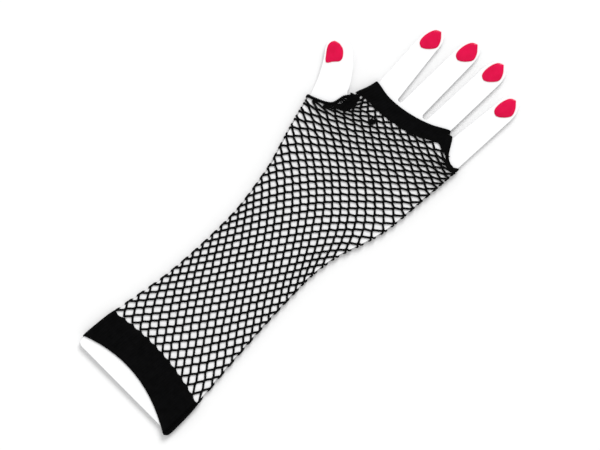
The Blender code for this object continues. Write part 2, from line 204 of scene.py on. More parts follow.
def reach(node, axis, count=90, trim=0.25):
    """A node's extent across one plan axis, at places spread along the other: (places, lows, highs)."""
    first, second = node_lines(node)
    low = min(first[:, axis].min(), second[:, axis].min()) + trim
    high = max(first[:, axis].max(), second[:, axis].max()) - trim
    places = np.linspace(low, high, count)
    lows, highs = [], []
    for at in places:
        a, b = first[:, axis] - at, second[:, axis] - at
        crossing = a * b <= 0
        a, b = a[crossing], b[crossing]
        share = np.where(a == b, 0.0, a / np.where(a == b, 1.0, a - b))
        other = 1 - axis
        found = first[crossing, other] + share * (second[crossing, other] - first[crossing, other])
        lows.append(found.min())
        highs.append(found.max())
    return places, np.array(lows), np.array(highs)


def squared(xs, highs, from_left=True, from_right=True):
    """A top edge carried level past its corners, where the outline turns down a slanting side."""
    found = highs.copy()
    if from_left:
        near = xs < xs[0] + CORNER_ZONE
        knee = np.flatnonzero(highs > highs[near].max() - CORNER_FALL)[0] + 1
        found[:knee] = highs[knee]
    if from_right:
        near = xs > xs[-1] - CORNER_ZONE
        knee = np.flatnonzero(highs > highs[near].max() - CORNER_FALL)[-1] - 1
        found[knee + 1 :] = highs[knee]
    return found


def middle_height(node):
    """The height of a node's middle, and half its thickness."""
    low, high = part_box(node)
    return (low.z + high.z) / 2 / MM, (high.z - low.z) / 2 / MM


BOARD_MIDDLE, BOARD_HALF = middle_height("hand_form")
FOLD = BOARD_HALF + CORNER_ARC


def board_sides():
    """The board's two sides up its whole length: (ys, lefts, rights)."""
    ys, lefts, rights = reach("hand_form", 1, count=240)
    band_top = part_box("knuckle_band")[1].y / MM
    keep = (ys > ys[0] + ELBOW_CORNER) & (ys < band_top)
    return ys[keep], lefts[keep], rights[keep]


def band_sides():
    """The same sides, but past the thumb hole the left is the palm's: the index finger's side at
    the knuckle band, and the crotch of the thumb below it."""
    ys, lefts, rights = SIDES
    band_ys, band_lefts, _ = reach("knuckle_band", 1)
    beside = band_lefts < band_lefts.min() + LEFT_END
    band_ys, band_lefts = band_ys[beside], band_lefts[beside]
    tack_ys, tack_lefts, _ = reach("thumb_crotch_tack", 1)
    index_side = np.interp(ys, band_ys, band_lefts + ROOM + BAND_WALL)
    crotch_side = np.interp(ys, tack_ys, tack_lefts + ROOM + BAND_WALL)
    palm = np.where(ys > band_ys[0], index_side, crotch_side)
    return ys, np.where(ys > HOLE_START, palm, lefts), rights


SIDES = board_sides()
HOLE_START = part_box("thumb_edging")[0].y / MM
BAND_SIDES = band_sides()


def fold(x, y, lift, sides=SIDES):
    """Places in plan, bent round the board's sides at a lift off its skin. Past a side, x goes on
    round the corner, down the side, round the next corner and back along the other face. FOLD is
    the way from a side's edge to its middle."""
    ys, lefts, rights = sides
    left, right = np.interp(y, ys, lefts), np.interp(y, ys, rights)
    lean_left = np.hypot(1.0, np.interp(y, ys, np.gradient(lefts, ys)))
    lean_right = np.hypot(1.0, np.interp(y, ys, np.gradient(rights, ys)))
    over = np.maximum(np.maximum(left - x, x - right), 0.0)
    far_corner = over - CORNER_ARC - 2 * BOARD_HALF
    turn = np.clip(over / CORNER_ARC, 0, 1) + np.clip(far_corner / CORNER_ARC, 0, 1)
    drop = np.clip(over - CORNER_ARC, 0, 2 * BOARD_HALF)
    lean = np.where(left - x > x - right, -lean_left, lean_right)
    out = lean * (lift * np.sin(turn * math.pi / 2) - np.maximum(far_corner - CORNER_ARC, 0))
    up = BOARD_HALF + lift * np.cos(turn * math.pi / 2) - drop
    return np.stack([np.clip(x, left, right) + out, y + 0 * x, BOARD_MIDDLE + up], -1)


def on_face(plan, lift, face, sides=SIDES):
    """Plan curves brought to the board's front or back, with the direction away from it."""
    places = fold(plan[..., 0], plan[..., 1], lift, sides)
    ups = unit(fold(plan[..., 0], plan[..., 1], lift + 0.2, sides) - places)
    if face < 0:
        places[..., 2] = 2 * BOARD_MIDDLE - places[..., 2]
        ups[..., 2] *= -1
    return places, ups


# ---- Meshes ----

GLOVE_PIECES = []


def make_piece(name, made, material, replaced=(), body="glove"):
    """A mesh object from points in millimetres, faces and a map, riding on a body."""
    points, faces, layout = made
    mesh = bpy.data.meshes.new(name)
    mesh.vertices.add(len(points))
    mesh.vertices.foreach_set("co", (np.asarray(points) * MM).astype(np.float32).ravel())
    corners = np.concatenate([f.ravel() for f in faces]).astype(np.int32)
    counts = np.concatenate([np.full(len(f), f.shape[1]) for f in faces])
    mesh.loops.add(len(corners))
    mesh.loops.foreach_set("vertex_index", corners)
    mesh.polygons.add(len(counts))
    mesh.polygons.foreach_set("loop_start", (np.cumsum(counts) - counts).astype(np.int32))
    layer = mesh.uv_layers.new(name="OFBake")
    layer.data.foreach_set("uv", layout.astype(np.float32).ravel())
    mesh.update(calc_edges=True)
    mesh.polygons.foreach_set("use_smooth", np.full(len(counts), True))
    mesh.validate()
    mesh.materials.append(material)
    piece = bpy.data.objects.new(name, mesh)
    bpy.context.scene.collection.objects.link(piece)
    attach(piece, body)
    if replaced:
        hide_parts(*replaced)
    if body == "glove":
        GLOVE_PIECES.append(piece)
    return piece


def unit(vectors):
    return vectors / np.maximum(np.linalg.norm(vectors, axis=-1, keepdims=True), 1e-12)


def swept(rings):
    """Rings of points, (pieces, rings, sides, 3), skinned into closed pieces that each have their
    own cell of a map. Returns points, faces and the map."""
    pieces, count, sides = rings.shape[:3]
    base = (np.arange(pieces) * count * sides)[:, None, None]
    k, s = np.meshgrid(np.arange(count - 1), np.arange(sides), indexing="ij")
    after = (s + 1) % sides
    here, above = k * sides, (k + 1) * sides
    quads = np.stack([here + s, here + after, above + after, above + s], -1)
    quads = (base[..., None] + quads).reshape(-1, 4)
    cap = np.arange(sides)
    starts = base[:, 0] + cap[::-1]
    ends = base[:, 0] + (count - 1) * sides + cap
    columns = int(math.ceil(math.sqrt(pieces * 3)))
    rows = int(math.ceil(pieces / columns))
    cell = np.stack([np.arange(pieces) % columns, np.arange(pieces) // columns], -1)
    u = np.stack([s, s + 1, s + 1, s], -1) / sides * 0.8
    v = np.stack([k, k, k + 1, k + 1], -1) / (count - 1) * 0.9
    side_map = (np.stack([u, v], -1)[None] + cell[:, None, None, None]).reshape(-1, 4, 2)
    turn = cap * 2 * math.pi / sides
    disc = np.stack([0.90 + 0.05 * np.cos(turn), 0.5 + 0.05 * np.sin(turn)], -1)
    cap_map = disc[None] + cell[:, None]
    points = rings.reshape(-1, 3)
    a, b, c, d = np.moveaxis(points[quads] - points.mean(0), 1, 0)
    inward = np.sum(a * np.cross(b, c)) + np.sum(a * np.cross(c, d)) < 0
    faces, maps = [quads, starts, ends], [side_map, cap_map, cap_map]
    if inward:
        faces = [f[:, ::-1] for f in faces]
        maps = [m[:, ::-1] for m in maps]
    return points, faces, np.concatenate([m.reshape(-1, 2) for m in maps]) / (columns, rows)


def tube_mesh(paths, ups, wide, thick, sides=7, twist=0.0, lobes=0.0):
    """Yarns with closed ends. paths and ups are (yarns, rings, 3), and wide and thick are half
    sizes, (yarns, rings)."""
    yarns = len(paths)
    along = unit(np.gradient(paths, axis=1))
    across = unit(np.cross(along, ups))
    upward = np.cross(across, along)
    turn = np.arange(sides) * 2 * math.pi / sides
    step = np.linalg.norm(np.diff(paths, axis=1), axis=-1)
    travel = np.concatenate([np.zeros((yarns, 1)), np.cumsum(step, axis=1)], axis=1)
    swell = 1 + lobes * np.cos(2 * (turn - twist * travel[..., None]))
    ring = (
        across[:, :, None] * (np.cos(turn) * swell * wide[..., None])[..., None]
        + upward[:, :, None] * (np.sin(turn) * swell * thick[..., None])[..., None]
    )
    return swept(paths[:, :, None] + ring)


def joined(parts):
    """Several results of tube_mesh as one, each with its own band of the map."""
    points, quads, caps, quad_maps, cap_maps, start = [], [], [], [], [], 0
    for n, (places, faces, layout) in enumerate(parts):
        layout = (layout + (0, n)) / (1, len(parts))
        count = len(faces[0]) * 4
        points.append(places)
        quads.append(faces[0] + start)
        caps.append([f + start for f in faces[1:]])
        quad_maps.append(layout[:count])
        cap_maps.append(layout[count:])
        start += len(places)
    faces = [np.concatenate(quads), *[f for pair in caps for f in pair]]
    return np.concatenate(points), faces, np.concatenate([*quad_maps, *cap_maps])


def eased(points, count):
    """A curve through the points, drawn again with this many even steps."""
    points = np.asarray(points, float)
    rows = np.concatenate([2 * points[:1] - points[1:2], points, 2 * points[-1:] - points[-2:-1]])
    t = np.linspace(0, 1, 9)[:-1, None]
    found = []
    for a, b, c, d in zip(rows, rows[1:], rows[2:], rows[3:]):
        bend = (2 * a - 5 * b + 4 * c - d) * t**2 + (3 * b - a - 3 * c + d) * t**3
        found.append(b + 0.5 * ((c - a) * t + bend))
    line = np.concatenate([*found, points[-1:]])
    travel = np.concatenate([[0], np.cumsum(np.linalg.norm(np.diff(line, axis=0), axis=1))])
    at = np.linspace(0, travel[-1], count)
    return np.stack([np.interp(at, travel, line[:, n]) for n in range(line.shape[1])], -1)


# ---- Materials ----


class Shader:
    """A Principled material with a few helpers for procedural nodes."""

    def __init__(self, name, **constants):
        self.material = bpy.data.materials.new(name)
        self.material.use_nodes = True
        self.tree = self.material.node_tree
        self.surface = self.tree.nodes["Principled BSDF"]
        for socket, value in constants.items():
            self.surface.inputs[socket.replace("_", " ")].default_value = value
        self.place = self.add("ShaderNodeTexCoord").outputs["Object"]

    def add(self, kind, **settings):
        node = self.tree.nodes.new(kind)
        for key, value in settings.items():
            setattr(node, key, value)
        return node

    def link(self, source, target):
        self.tree.links.new(source, target)

    def noise(self, size, detail=3.0, stretch=(1, 1, 1)):
        """Noise with features about this many millimetres across."""
        mapping = self.add("ShaderNodeMapping")
        mapping.inputs["Scale"].default_value = [s / (size * MM) for s in stretch]
        self.link(self.place, mapping.inputs["Vector"])
        node = self.add("ShaderNodeTexNoise")
        node.inputs["Scale"].default_value = 1.0
        node.inputs["Detail"].default_value = detail
        self.link(mapping.outputs["Vector"], node.inputs["Vector"])
        return node.outputs["Fac"]

    def ramp(self, source, *stops):
        """The source, turned to colours that run between two stops."""
        node = self.add("ShaderNodeValToRGB")
        for element, (at, colour) in zip(node.color_ramp.elements, stops):
            element.position = at
            element.color = (*colour, 1.0)
        self.link(source, node.inputs["Fac"])
        return node.outputs["Color"]

    def between(self, source, low, high):
        """The source, from 0 to 1, mapped to a range."""
        node = self.add("ShaderNodeMapRange")
        node.inputs["To Min"].default_value = low
        node.inputs["To Max"].default_value = high
        self.link(source, node.inputs["Value"])
        return node.outputs["Result"]

    def colour(self, source):
        self.link(source, self.surface.inputs["Base Color"])

    def roughness(self, source):
        self.link(source, self.surface.inputs["Roughness"])

    def bump(self, source, distance):
        """A bump from a height source, over a distance in millimetres."""
        node = self.add("ShaderNodeBump")
        node.inputs["Strength"].default_value = 1.0
        node.inputs["Distance"].default_value = distance * MM
        self.link(source, node.inputs["Height"])
        self.link(node.outputs["Normal"], self.surface.inputs["Normal"])


def near_black(value):
    return (value, value, value * 1.08)


def yarn_material():
    """Black polyester yarn: matt, with fibres that catch a little light."""
    made = Shader("net_yarn", Specular_IOR_Level=0.06)
    made.colour(made.ramp(made.noise(1.1), (0.30, near_black(0.0010)), (0.72, near_black(0.0032))))
    made.roughness(made.between(made.noise(0.6), 0.66, 0.90))
    made.bump(made.noise(0.28, 2.0, (1, 0.35, 1)), 0.05)
    return made.material


def rib_material():
    """Black rib knit, denser and more matt than the net."""
    made = Shader("rib_yarn", Specular_IOR_Level=0.05)
    made.colour(made.ramp(made.noise(3.5), (0.25, near_black(0.0008)), (0.75, near_black(0.0026))))
    made.roughness(made.between(made.noise(0.8), 0.76, 0.95))
    made.bump(made.noise(0.30, 3.0, (1, 0.45, 1)), 0.07)
    return made.material


def board_material():
    """White coated card with a faint tooth. Its cut sides are uncoated and a little darker."""
    made = Shader("coated_card", Specular_IOR_Level=0.35)
    normal = made.add("ShaderNodeNewGeometry").outputs["True Normal"]
    split = made.add("ShaderNodeSeparateXYZ")
    made.link(normal, split.inputs["Vector"])
    facing = made.add("ShaderNodeMath", operation="ABSOLUTE")
    made.link(split.outputs["Z"], facing.inputs[0])
    is_face = made.ramp(facing.outputs[0], (0.45, (0, 0, 0)), (0.9, (1, 1, 1)))
    faces = made.ramp(made.noise(9.0), (0.3, (0.925, 0.928, 0.935)), (0.7, (0.955, 0.957, 0.962)))
    layers = made.noise(0.9, 3.0, (0.2, 0.2, 2.5))
    sides = made.ramp(layers, (0.3, (0.62, 0.62, 0.635)), (0.7, (0.76, 0.76, 0.77)))
    mix = made.add("ShaderNodeMix", data_type="RGBA")
    made.link(is_face, mix.inputs["Factor"])
    made.link(sides, mix.inputs["A"])
    made.link(faces, mix.inputs["B"])
    made.colour([o for o in mix.outputs if o.type == "RGBA"][0])
    made.roughness(made.between(made.noise(2.2), 0.42, 0.60))
    made.bump(made.noise(0.45, 4.0), 0.012)
    return made.material


def nail_material():
    """Crimson lacquer, slightly deeper where it pools."""
    made = Shader("crimson_lacquer", Coat_Weight=0.12, Coat_Roughness=0.06, Specular_IOR_Level=0.1)
    made.colour(made.ramp(made.noise(6.0, 2.0), (0.3, (0.66, 0.0, 0.052)), (0.7, (0.75, 0.001, 0.066))))
    made.roughness(made.between(made.noise(1.5), 0.16, 0.30))
    made.bump(made.noise(2.5, 1.0), 0.02)
    return made.material


NET_YARN = yarn_material()
RIB_YARN = rib_material()
COATED_CARD = board_material()
LACQUER = nail_material()


# ---- The fishnet ----


def hole_line():
    """The net's edge along the thumb hole and beside the tack, from the board's side up."""
    xs, _, highs = reach("net_tube", 0, count=160)
    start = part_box("thumb_edging")[0].x / MM
    tack_low, tack_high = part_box("thumb_crotch_tack")
    tack_right, tack_low = tack_high.x / MM, tack_low.y / MM
    rim_xs = np.linspace(start + 6.0, CROTCH[0] - 5.0, 5)
    rim = np.stack([rim_xs, np.interp(rim_xs, xs, highs) + 0.8], -1)
    top = np.interp(tack_right + 1, xs, highs) + TUCK
    beside = [(CROTCH[0] - 1.0, tack_low - 1.0), (tack_right - 2.2, tack_low + 1.0)]
    return np.concatenate([rim, beside, [(tack_right - 0.3, top - 10), (tack_right + 0.3, top)]])


def mesh_sides():
    """Every mesh side, as two flat indices of knots. Odd rows stand half a mesh over."""
    index = np.arange((HALF_ROWS + 1) * (MESHES + 1)).reshape(HALF_ROWS + 1, MESHES + 1)
    found = []
    for row in range(HALF_ROWS):
        here, there = index[row], index[row + 1]
        if row % 2:
            found += [(here[:-1], there[:-1]), (here[:-1], there[1:])]
        else:
            found += [(here[:-1], there[:-1]), (here[1:], there[:-1])]
    return index, np.concatenate([np.stack(pair, -1) for pair in found])


def balanced(values, held, pairs, pulls):
    """The values of free knots where the pulls of their yarns balance, with the others held."""
    count = len(values)
    total = np.zeros((count, count))
    for a, b in ((0, 1), (1, 0)):
        np.add.at(total, (pairs[:, a], pairs[:, a]), pulls)
        np.add.at(total, (pairs[:, a], pairs[:, b]), -pulls)
    free = ~held
    found = values.copy()
    found[free] = np.linalg.solve(
        total[np.ix_(free, free)], -total[np.ix_(free, held)] @ values[held]
    )
    return found


def arm_row():
    """The places of the net's first knots, along the arm band's top edge."""
    ys, lefts, rights = SIDES
    arm_xs, _, arm_tops = reach("arm_band", 0, count=240)
    arm_tops = squared(arm_xs, arm_tops, from_right=False)
    _, left_turn, right_turn = SIDE_TURNS[0]
    low_left = np.interp(arm_tops[0], ys, lefts) - left_turn
    low_right = np.interp(arm_tops[-1], ys, rights) + right_turn
    x = low_left + np.arange(MESHES + 1) / MESHES * (low_right - low_left)
    return x, np.interp(x, arm_xs, arm_tops) - BOTTOM_OVERLAP


def knuckle_row(start):
    """The places of the net's last knots, from the hole's end along the knuckle band's low edge."""
    ys, _, rights = SIDES
    xs, _, highs = reach("net_tube", 0, count=160)
    end = np.interp(highs[-1], ys, rights) + SIDE_TURNS[-1][2]
    x = start[0] + (np.arange(MESHES + 1) / MESHES) ** CROWDING * (end - start[0])
    y = np.interp(x, xs, highs) + TOP_OVERLAP
    y[0] = start[1]
    peak = y.argmax()
    return x, np.maximum(y, np.interp(x, x[[0, peak, -1]], [start[1], y[peak], y[-1]]))


def relaxed_net():
    """Each knot's place in plan, and the mesh sides. Knots are held at the bands and along the
    thumb hole, lean along the board's sides, and elsewhere rest where their yarns balance."""
    rng = np.random.default_rng(SEED)
    ys, lefts, rights = SIDES
    index, pairs = mesh_sides()
    rows = np.arange(HALF_ROWS + 1)
    hole = eased(hole_line(), HALF_ROWS - HOLE_ROW + 1)
    x = np.zeros(index.shape)
    y = np.zeros(index.shape)
    held = np.zeros(index.shape, bool)
    held[0] = held[-1] = held[1::2, -1] = True
    x[0], y[0] = arm_row()
    x[-1], y[-1] = knuckle_row(hole[-1])
    hole_rows = rows[(rows % 2 == 0) & (rows >= HOLE_ROW)]
    held[hole_rows, 0] = True
    x[hole_rows, 0], y[hole_rows, 0] = hole[hole_rows - HOLE_ROW].T

    rises = np.interp(rows[:-1], *np.array(ROW_RISES).T)
    even = rows[(rows % 2 == 0) & (rows > 0) & (rows < HALF_ROWS)]
    below = even[even < HOLE_ROW]
    held[below, 0] = held[even, MESHES] = True
    ends = y[[0, -1]][:, MIDDLE_MESHES].mean(1)
    middles = ends[0] + np.cumsum(rises)[even - 1] * (ends[1] - ends[0]) / rises.sum()
    lean_rows, left_leans, right_leans = np.array(LEANS).T
    y[below, 0] = middles[: len(below)] + np.interp(below, lean_rows, left_leans)
    y[even, MESHES] = middles + np.interp(even, lean_rows, right_leans)
    row = pairs[:, 0] // (MESHES + 1)
    pulls = 1 / rises[row] * (1 + UNEVENNESS * rng.uniform(-1, 1, len(pairs)))
    for _ in range(PASSES):
        y = balanced(y.ravel(), held.ravel(), pairs, pulls).reshape(index.shape)
        found = np.diff(y[:, MIDDLE_MESHES].mean(1))
        pulls *= (found / found.sum() / rises * rises.sum())[row]

    heights, left_turns, right_turns = np.array(SIDE_TURNS).T
    left_y, right_y = y[below, 0], y[even, MESHES]
    x[below, 0] = np.interp(left_y, ys, lefts) - np.interp(left_y, heights, left_turns)
    x[even, MESHES] = np.interp(right_y, ys, rights) + np.interp(right_y, heights, right_turns)
    x = balanced(x.ravel(), held.ravel(), pairs, pulls).reshape(index.shape)
    return np.stack([x, y], -1), pairs


def yarn_paths(starts, ends, rings=8):
    """Curves from knot to knot in plan. Each runs upright from the middle of a knot to its end,
    and still stands a little upright where it leaves the knot."""
    t = np.linspace(0, 1, rings)[None, :, None]
    low, high = starts + (0, KNOT_RISE), ends - (0, KNOT_RISE)
    gap = high - low
    length = np.linalg.norm(gap, axis=1, keepdims=True)
    lean = unit(gap + KNOT_LEAN * length * (0, 1)) * length
    a, b, m = low[:, None], high[:, None], lean[:, None]
    curve = (
        (2 * t**3 - 3 * t**2 + 1) * a
        + (t**3 - 2 * t**2 + t) * m
        + (3 * t**2 - 2 * t**3) * b
        + (t**3 - t**2) * m
    )
    return np.concatenate([starts[:, None], curve, ends[:, None]], 1)


def turn_back(knots):
    """The same knots on the back, where the outermost ones are those of the front, reached the
    long way round the board's sides."""
    ys, lefts, rights = SIDES
    found = knots.copy()
    rows = np.arange(0, HOLE_ROW, 2)
    found[rows, 0, 0] = 2 * np.interp(knots[rows, 0, 1], ys, lefts) - 2 * FOLD - knots[rows, 0, 0]
    rows = np.arange(0, HALF_ROWS + 1, 2)
    side = np.interp(knots[rows, -1, 1], ys, rights)
    found[rows, -1, 0] = 2 * side + 2 * FOLD - knots[rows, -1, 0]
    return found


def net_lift(plan):
    """The net's lift off the board, less where it is knitted into the knuckle band."""
    xs, lows, _ = reach("knuckle_band", 0)
    under = np.clip((plan[..., 1] - np.interp(plan[..., 0], xs, lows)) / TUCK_RUN, 0, 1)
    return NET_LIFT - TUCK_DROP * np.where(plan[..., 1] > lows.min(), under, 0)


def knot_wraps(centres, face, rings=13):
    """The short turn of yarn that binds each knot."""
    turn = np.linspace(*WRAP_TURNS, rings) * 2 * math.pi
    wide, thick, yarn = KNOT_WRAP
    x = centres[:, None, 0] + wide * np.cos(turn)
    y = centres[:, None, 1] + np.linspace(-KNOT_RISE, KNOT_RISE, rings)
    lift = net_lift(centres)[:, None]
    surface, _ = on_face(np.stack([x, y], -1), lift + thick * np.sin(turn), face)
    middle, _ = on_face(centres[:, None] + 0 * turn[:, None], lift, face)
    size = np.full(x.shape, yarn)
    return tube_mesh(surface, unit(surface - middle), size, size, sides=5)


def build_net(knots, pairs):
    """The net's pieces, each with its yarns and the turns that bind its knots."""
    rows = pairs // (MESHES + 1)
    index = np.arange(knots.shape[0] * knots.shape[1]).reshape(knots.shape[:2])
    for face, side in ((1, "front"), (-1, "back")):
        places = (knots if face > 0 else turn_back(knots)).reshape(-1, 2)
        unused = index[1::2, -1]
        if face < 0:
            unused = np.concatenate([unused, index[:, 0], index[:, -1]])
        for level, (first, last, width, length) in NET_PIECES.items():
            chosen = (rows[:, 0] >= first) & (rows[:, 0] < last)
            plan = yarn_paths(places[pairs[chosen, 0]], places[pairs[chosen, 1]])
            paths, ups = on_face(plan, net_lift(plan), face)
            t = np.abs(np.linspace(-1, 1, paths.shape[1]))
            swell = np.where(t == 1, KNOT_END, 1 + KNOT_SWELL * t**3) + 0 * plan[..., 0]
            yarns = tube_mesh(
                paths, ups, YARN_WIDTH / 2 * swell, YARN_THICKNESS / 2 * swell**0.3,
                sides=8, twist=YARN_TWIST, lobes=YARN_LOBES,
            )
            wrapped = np.setdiff1d(index[first + (first == 0) : last].ravel(), unused)
            wrapped = wrapped[net_lift(places[wrapped]) > NET_LIFT - TUCK_DROP / 2]
            made = joined([yarns, knot_wraps(places[wrapped], face)])
            piece = make_piece(f"net_{side}_{level}", made, NET_YARN, ["net_tube"])


KNOTS, MESH_SIDES = relaxed_net()
build_net(KNOTS, MESH_SIDES)

# ---- The rib-knit bands ----


def scallops(x, row):
    """How far a band's edge draws back between the net's knots, on one row of them."""
    mesh = np.interp(x, KNOTS[row, :, 0], np.arange(MESHES + 1))
    return SCALLOPS[row] * np.abs(np.sin(math.pi * mesh))


def ribbed(across, y):
    """The height of ribs and of their stitches, at distances across the ribs and along them."""
    rib = (across / RIB_PITCH) % 1 - 0.5
    stitch = np.sin(2 * math.pi * (y / COURSE - STITCH_SLANT * np.abs(rib)))
    return RIB_HEIGHT * np.cos(math.pi * rib) ** 2 + STITCH_HEIGHT * stitch


def knit_band(node, side, join=None):
    """A ribbed band, bent round one side of the board and open at its far ends. The join is the
    net's row that its edge is knitted to, the first row at its top or the last at its bottom."""
    xs, lows, highs = reach(node, 0, count=240, trim=0.05)
    low_corner, high_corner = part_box(node)
    ys, lefts, rights = BAND_SIDES
    highs = squared(xs, highs, side == "left", side == "right")
    middle = (lows.mean() + highs.mean()) / 2
    wall_at, end = lefts - FOLD, high_corner.x / MM + SEAM_REACH
    if side == "right":
        wall_at, end = rights + FOLD, low_corner.x / MM - SEAM_REACH
    width = end - np.interp(middle, ys, wall_at)
    columns = max(2, round(abs(width) / RIB_PITCH)) * RIB_STEPS
    share = np.linspace(-1, 1, 2 * columns + 1)[:, None]
    x = end - width * (1 - np.abs(share))
    low, high = np.interp(x, xs, lows), np.interp(x, xs, highs)
    if join == 0:
        high = high - scallops(x, 0)
    if join == HALF_ROWS:
        low = low + scallops(x, HALF_ROWS)

    inner, outer = ROOM, ROOM + BAND_WALL
    radius = (BAND_LIFT - inner) / 2
    bend = np.array([45, 90, 135]) / 180 * math.pi
    count = int((highs - lows).max() / COURSE_STEP)
    up = np.linspace(0, 1, count + 1)
    down = np.linspace(1, 0, 6)
    inset_low, inset_high = low + radius, high - radius
    span = inset_high - inset_low
    heights = np.concatenate(
        [
            inset_low + span * up,
            inset_high + radius * np.sin(bend),
            inset_low + span * down,
            inset_low - radius * np.sin(bend),
        ],
        axis=1,
    )
    rim = inner + radius * (1 + np.cos(bend))
    lifts = np.concatenate([0 * up + BAND_LIFT, rim, 0 * down + inner, rim[::-1]]) + 0 * heights
    wall = np.interp(heights, ys, wall_at)
    plan = np.stack([end - (end - wall) * (1 - np.abs(share)), heights], -1)
    fade = np.minimum(1, 4 * np.minimum(up, 1 - up) + 0.35)
    lifts[:, : count + 1] += fade * ribbed(share * width, heights[:, : count + 1])
    lifts = np.minimum(lifts, outer + 0.05)
    places = fold(plan[..., 0], plan[..., 1], lifts, BAND_SIDES)
    back = share[:, 0] < 0
    places[back, :, 2] = 2 * BOARD_MIDDLE - places[back, :, 2]
    piece = make_piece(node + "_knit", swept(places[None]), RIB_YARN, [node])


knit_band("arm_band", "left", join=0)
knit_band("arm_band_seam", "right")
knit_band("knuckle_band", "left", join=HALF_ROWS)
knit_band("little_finger_edging", "right")
knit_band("thumb_crotch_tack", "left")


# ---- Seams, edgings and the gather ----


def yarn_piece(name, paths, yarn, middles):
    """Yarns of one width and thickness, given by their centre lines and the middles that these bend
    round. They are rounded off at the ends."""
    width, thickness = yarn
    t = np.abs(np.linspace(-1, 1, paths.shape[1]))
    taper = np.sqrt(1 - 0.75 * t**6) + 0 * paths[..., 0]
    made = tube_mesh(paths, unit(paths - middles), width / 2 * taper, thickness / 2 * taper)
    make_piece(name, made, RIB_YARN)


def rim_line(step=0.6):
    """The thumb hole's rolled edge in plan, from beside the tack down to the board's side and to
    the middle of that side."""
    ys, lefts, _ = SIDES
    line = eased([CROTCH + offset for offset in THUMB_RIM[::-1]], 120)
    inside = line[:, 0] > np.interp(line[:, 1], ys, lefts) - FOLD
    line = line[inside]
    length = np.linalg.norm(np.diff(line, axis=0), axis=1).sum()
    return eased(line, int(length / step))


def build_rim():
    """The thumb hole's rolled edge on both faces, and the overlock stitches over it."""
    line = rim_line()
    front, up_front = on_face(line, RIM_LIFT, 1)
    back, up_back = on_face(line[::-1], RIM_LIFT, -1)
    path, ups = np.concatenate([front, back[1:]]), np.concatenate([up_front, up_back[1:]])
    half = np.full((1, len(path)), 1.0)
    roll = tube_mesh(path[None], ups[None], half * RIM_WIDTH / 2, half * RIM_THICKNESS / 2, 12)
    make_piece("thumb_edging_roll", roll, RIB_YARN, ["thumb_edging"])

    along = unit(np.gradient(path, axis=0))
    across = np.cross(along, ups)
    turn = np.linspace(*OVERLOCK_TURNS, 11) * 2 * math.pi
    spots = np.arange(1, len(path) - 2, OVERLOCK_STEPS)
    slide = np.linspace(-0.5, 0.5, len(turn))[None, :, None] * along[spots, None] * OVERLOCK_SLANT
    reach_out = across[spots, None] * (np.cos(turn) * (RIM_WIDTH / 2 + 0.1))[None, :, None]
    reach_up = ups[spots, None] * (np.sin(turn) * (RIM_THICKNESS / 2 + 0.1))[None, :, None]
    loops = path[spots, None] + reach_out + reach_up + slide
    yarn_piece("thumb_edging_overlock", loops, STITCH_YARN, path[spots, None])


build_rim()


def both_faces(plan, lifts):
    """Yarns in plan, on the front and again on the back, with the middle of each one's bend."""
    paths = [on_face(plan, lifts, face)[0] for face in (1, -1)]
    under = [on_face(plan, 0 * lifts - 1.0, face)[0] for face in (1, -1)]
    return np.concatenate(paths), np.concatenate(under)


def build_seam(name, left_node, right_node):
    """Slanting stitches across the gap between two bands, on both faces."""
    _, lows, highs = reach(left_node, 0)
    x = (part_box(left_node)[1].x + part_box(right_node)[0].x) / 2 / MM
    ys = np.arange(lows[-1] + 0.9, highs[-1] - 0.6, SEAM_PITCH)[:, None]
    t = np.linspace(-1, 1, 9)
    plan = np.stack([x + SEAM_STITCH * t + 0 * ys, ys + SEAM_SLANT * t], -1)
    lifts = ROOM + BAND_WALL + 0.30 - 0.55 * t**2 + 0 * ys
    paths, under = both_faces(plan, lifts)
    yarn_piece(name, paths, STITCH_YARN, under)


build_seam("arm_seam_stitches", "arm_band", "arm_band_seam")
build_seam("knuckle_seam_stitches", "knuckle_band", "little_finger_edging")


def build_gather():
    """Yarn bunched at the crotch of the thumb, where the net, the thumb hole and the knuckle band
    were drawn together: loops over the tack, and slack yarns along the hole's corner."""
    rng = np.random.default_rng(SEED + 1)
    t = np.linspace(-1, 1, 13)
    heights, lefts, rights = np.array(GATHER_OUTLINE).T
    count = (GATHER_LOOPS, 1)
    up = rng.uniform(0, 1, count) * (heights[-1] - heights[0]) + heights[0]
    left, right = np.interp(up, heights, lefts), np.interp(up, heights, rights)
    across = left + (right - left) * rng.uniform(0, 1, count)
    lean = rng.uniform(-0.6, 1.1, count)
    half = rng.uniform(*LOOP_HALF, count)
    curl = rng.uniform(-1.2, 1.2, count)
    x = CROTCH[0] + across + half * t * np.sin(lean) + curl * (1 - t**2) * np.cos(lean)
    y = CROTCH[1] + up + half * t * np.cos(lean) - curl * (1 - t**2) * np.sin(lean)
    lifts = rng.uniform(1.1, 1.7, count) - 0.7 * t**4
    paths, under = both_faces(np.stack([x, y], -1), lifts)
    yarn_piece("crotch_gather", paths, GATHER_YARN, under)

    count = (SLACK_YARNS, 1)
    along = rng.uniform(0.0, 1.0, count)
    x = CROTCH[0] - 4.0 + 4.2 * along + 4.6 * t + rng.uniform(-0.5, 0.5, count)
    y = CROTCH[1] - 10.6 + 3.2 * along + 2.2 * t + rng.uniform(-0.6, 0.6, count) * t**2
    lifts = rng.uniform(0.9, 1.3, count) - 0.25 * t**2
    paths, under = both_faces(np.stack([x, y], -1), lifts)
    yarn_piece("crotch_slack", paths, SLACK_YARN, under)


